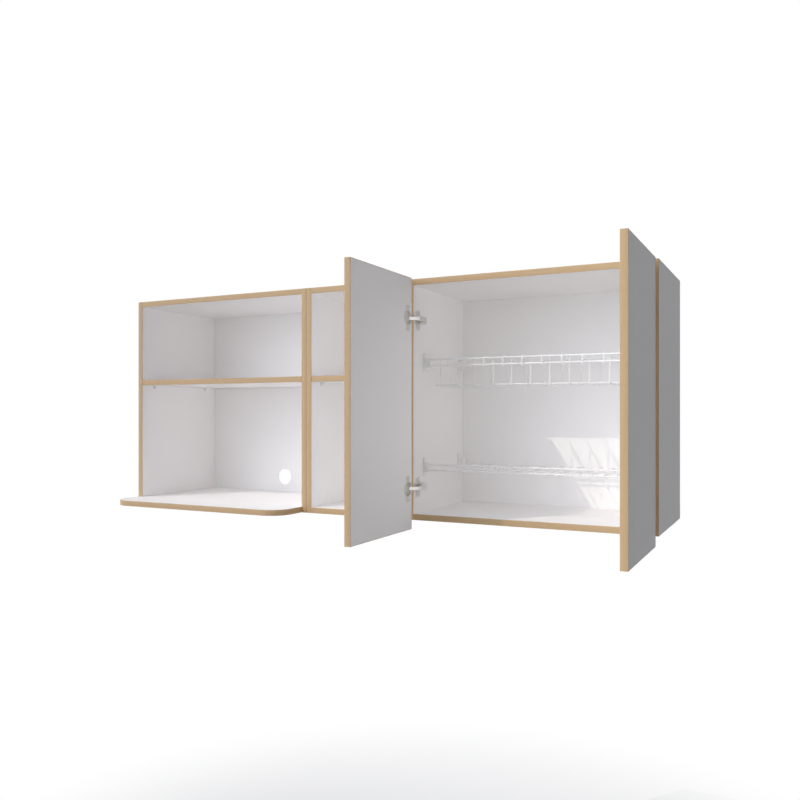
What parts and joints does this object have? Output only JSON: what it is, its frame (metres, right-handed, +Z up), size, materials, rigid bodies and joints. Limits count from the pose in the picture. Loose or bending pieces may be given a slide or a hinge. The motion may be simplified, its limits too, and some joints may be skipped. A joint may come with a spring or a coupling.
{
  "type": "kitchen wall cabinet",
  "caption": "Wall-hung kitchen cabinet row: open microwave unit with a tray base, narrow open unit, and a two-door unit with wire dish racks.",
  "frame": {"origin": "on the wall face, in the middle of the row's width and of the cabinets' height", "axes": "+X to the right along the row, +Y into the wall, +Z up"},
  "size_m": [1.5, 0.643, 0.616],
  "materials": {
    "white_melamine": "satin white melamine on particle board",
    "white_hardboard": "smooth white lacquered hardboard",
    "oak_edge_band": "matt oak-coloured edge strip",
    "nickel_steel": "nickel-plated pressed steel",
    "white_wire": "white plastic-coated steel wire",
    "white_plastic": "moulded white plastic"
  },
  "bodies": {
    "cabinets": {"dish_back": "white_hardboard", "dish_bottom": "white_melamine", "dish_edge_band": "oak_edge_band", "dish_left_side": "white_melamine", "dish_right_side": "white_melamine", "dish_top": "white_melamine", "left_lower_hinge_arm": "nickel_steel", "left_lower_hinge_plate": "nickel_steel", "left_upper_hinge_arm": "nickel_steel", "left_upper_hinge_plate": "nickel_steel", "lower_rack": "white_wire", "lower_rack_bracket_back_left": "white_plastic", "lower_rack_bracket_back_right": "white_plastic", "lower_rack_bracket_front_left": "white_plastic", "lower_rack_bracket_front_right": "white_plastic", "lower_rack_fence": "white_wire", "microwave_back": "white_hardboard", "microwave_base": "white_melamine", "microwave_edge_band": "oak_edge_band", "microwave_left_side": "white_melamine", "microwave_right_side": "white_melamine", "microwave_shelf": "white_melamine", "microwave_shelf_pin_back_left": "white_plastic", "microwave_shelf_pin_back_right": "white_plastic", "microwave_shelf_pin_front_left": "white_plastic", "microwave_shelf_pin_front_right": "white_plastic", "microwave_top": "white_melamine", "open_back": "white_hardboard", "open_bottom": "white_melamine", "open_edge_band": "oak_edge_band", "open_left_side": "white_melamine", "open_right_side": "white_melamine", "open_shelf": "white_melamine", "open_shelf_pin_back_left": "white_plastic", "open_shelf_pin_back_right": "white_plastic", "open_shelf_pin_front_left": "white_plastic", "open_shelf_pin_front_right": "white_plastic", "open_top": "white_melamine", "right_lower_hinge_arm": "nickel_steel", "right_lower_hinge_plate": "nickel_steel", "right_upper_hinge_arm": "nickel_steel", "right_upper_hinge_plate": "nickel_steel", "tray_edge_band": "oak_edge_band", "upper_rack": "white_wire", "upper_rack_bracket_back_left": "white_plastic", "upper_rack_bracket_back_right": "white_plastic", "upper_rack_bracket_front_left": "white_plastic", "upper_rack_bracket_front_right": "white_plastic"},
    "left_door": {"left_door": "white_melamine", "left_door_edge_band": "oak_edge_band", "left_lower_hinge_cup": "nickel_steel", "left_upper_hinge_cup": "nickel_steel"},
    "left_hinge_links": {"left_lower_hinge_link": "nickel_steel", "left_upper_hinge_link": "nickel_steel"},
    "right_door": {"right_door": "white_melamine", "right_door_edge_band": "oak_edge_band", "right_lower_hinge_cup": "nickel_steel", "right_upper_hinge_cup": "nickel_steel"},
    "right_hinge_links": {"right_lower_hinge_link": "nickel_steel", "right_upper_hinge_link": "nickel_steel"}
  },
  "joints": [
    {"name": "left_door_hinge", "type": "hinge", "parent": "cabinets", "child": "left_door", "pos_m": [0.1534, -0.34775, -0.01], "axis": [0, 0, 1], "range_deg": [-5, 90]},
    {"name": "left_link_turn", "type": "hinge", "parent": "cabinets", "child": "left_hinge_links", "pos_m": [0.18675, -0.3396, -0.01], "axis": [0, 0, 1], "range_deg": [-37, 3]},
    {"name": "right_door_hinge", "type": "hinge", "parent": "cabinets", "child": "right_door", "pos_m": [0.74675, -0.34775, -0.01], "axis": [0, 0, -1], "range_deg": [-5, 90]},
    {"name": "right_link_turn", "type": "hinge", "parent": "cabinets", "child": "right_hinge_links", "pos_m": [0.7134, -0.3396, -0.01], "axis": [0, 0, -1], "range_deg": [-37, 3]}
  ],
  "couplings": [
    {"joint": "left_link_turn", "follows": "left_door_hinge", "ratio": -0.4},
    {"joint": "right_link_turn", "follows": "right_door_hinge", "ratio": -0.4}
  ]
}
